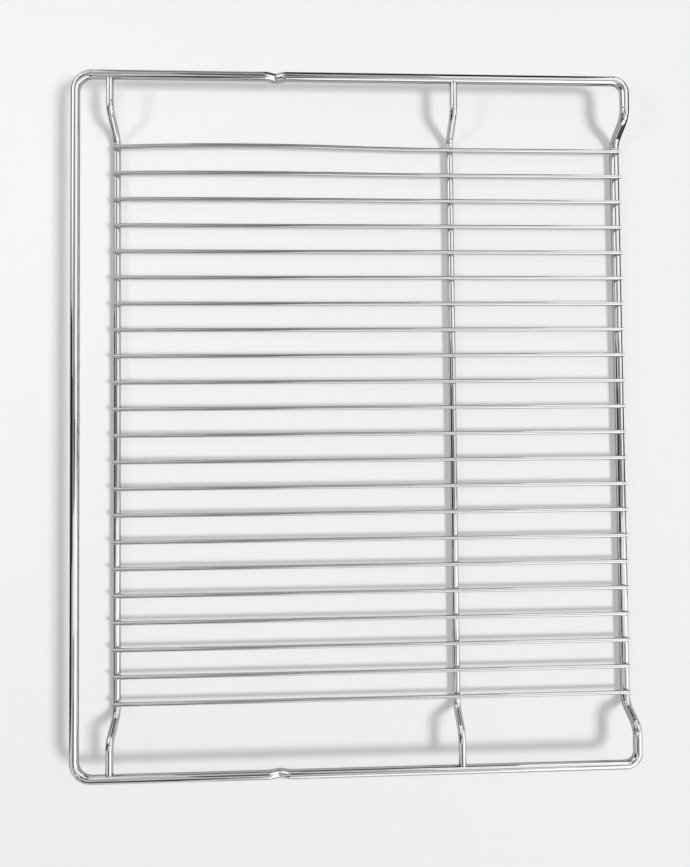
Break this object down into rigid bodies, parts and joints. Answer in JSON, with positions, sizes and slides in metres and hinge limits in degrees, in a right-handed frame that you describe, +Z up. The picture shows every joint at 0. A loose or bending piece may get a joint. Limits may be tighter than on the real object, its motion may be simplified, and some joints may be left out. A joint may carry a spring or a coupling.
{
  "type": "oven shelf rack",
  "caption": "Chromed wire oven shelf: a bent frame wire with raised, notched side rails, cranked cross supports and a row of thin grid wires welded on top.",
  "frame": {"origin": "under the middle of the rack, level with the front bar's underside", "axes": "+X across the oven to the right as seen from the door, +Y to the back of the oven, +Z up"},
  "size_m": [0.465, 0.374, 0.023],
  "materials": {
    "chromed_wire": "bright chrome plating"
  },
  "bodies": {
    "root": {"frame": "chromed_wire", "rear_support": "chromed_wire", "middle_support": "chromed_wire", "grid_wire_01": "chromed_wire", "grid_wire_02": "chromed_wire", "grid_wire_03": "chromed_wire", "grid_wire_04": "chromed_wire", "grid_wire_05": "chromed_wire", "grid_wire_06": "chromed_wire", "grid_wire_07": "chromed_wire", "grid_wire_08": "chromed_wire", "grid_wire_09": "chromed_wire", "grid_wire_10": "chromed_wire", "grid_wire_11": "chromed_wire", "grid_wire_12": "chromed_wire", "grid_wire_13": "chromed_wire", "grid_wire_14": "chromed_wire", "grid_wire_15": "chromed_wire", "grid_wire_16": "chromed_wire", "grid_wire_17": "chromed_wire", "grid_wire_18": "chromed_wire", "grid_wire_19": "chromed_wire", "grid_wire_20": "chromed_wire", "grid_wire_21": "chromed_wire", "grid_wire_22": "chromed_wire"}
  },
  "joints": []
}
